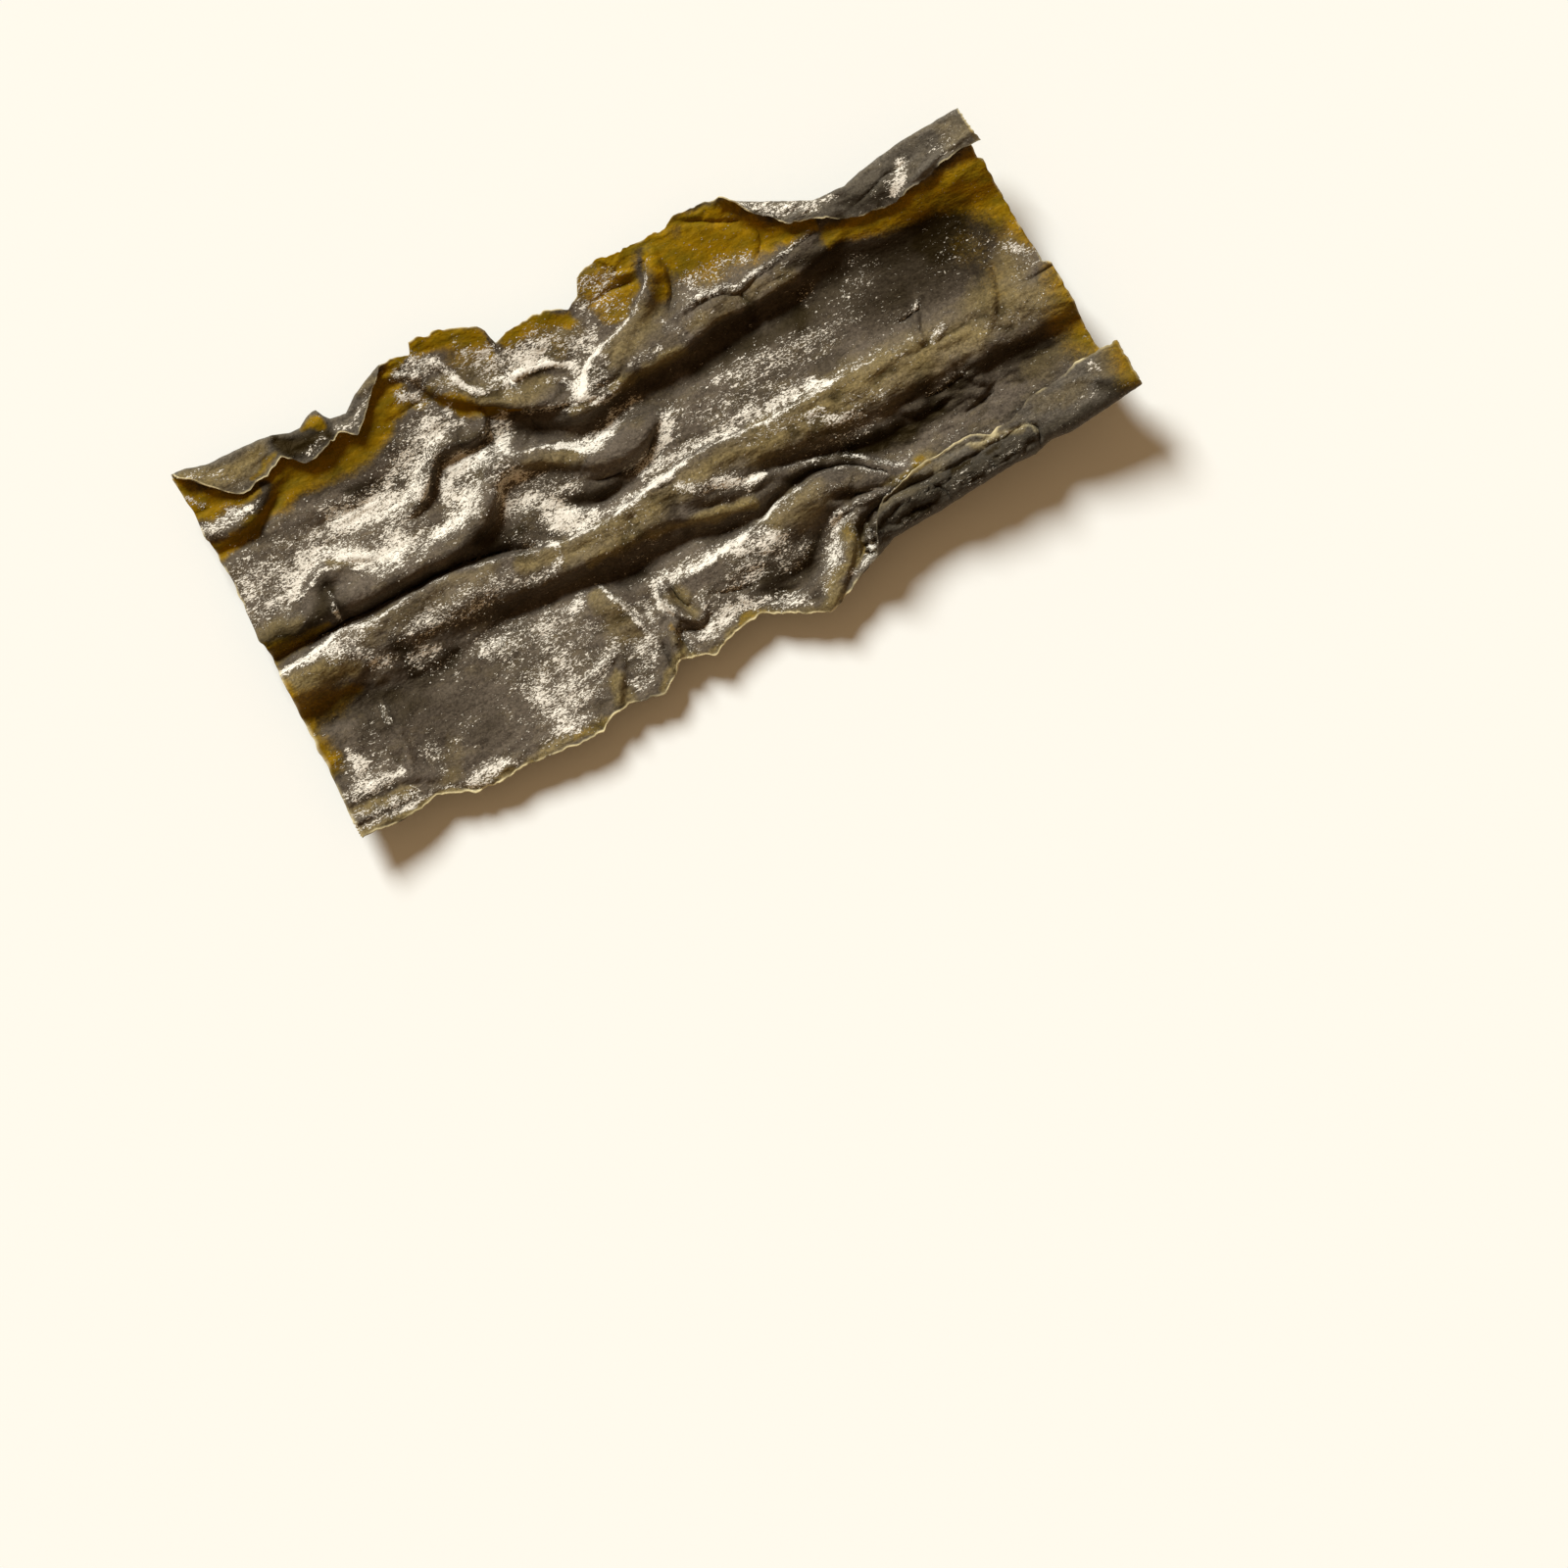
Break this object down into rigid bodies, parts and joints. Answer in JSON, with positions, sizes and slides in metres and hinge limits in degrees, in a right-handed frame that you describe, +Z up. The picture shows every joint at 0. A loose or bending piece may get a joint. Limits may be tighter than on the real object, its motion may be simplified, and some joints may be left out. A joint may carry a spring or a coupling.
{
  "type": "dried kelp sheet",
  "caption": "Cut sheet of dried kelp, lying flat, with long lengthwise folds, curled ends and turned-over edges.",
  "frame": {"origin": "on the ground under the middle of the sheet's bounding box", "axes": "+X along the blade, towards the end that curls up most; +Y across the blade, towards the edge that is turned over near both ends; +Z up"},
  "size_m": [0.2094, 0.1014, 0.0194],
  "materials": {
    "dried_kelp": "dull satin, dark olive brown, with a white salty bloom"
  },
  "bodies": {
    "root": {"kelp_sheet": "dried_kelp"}
  },
  "joints": []
}
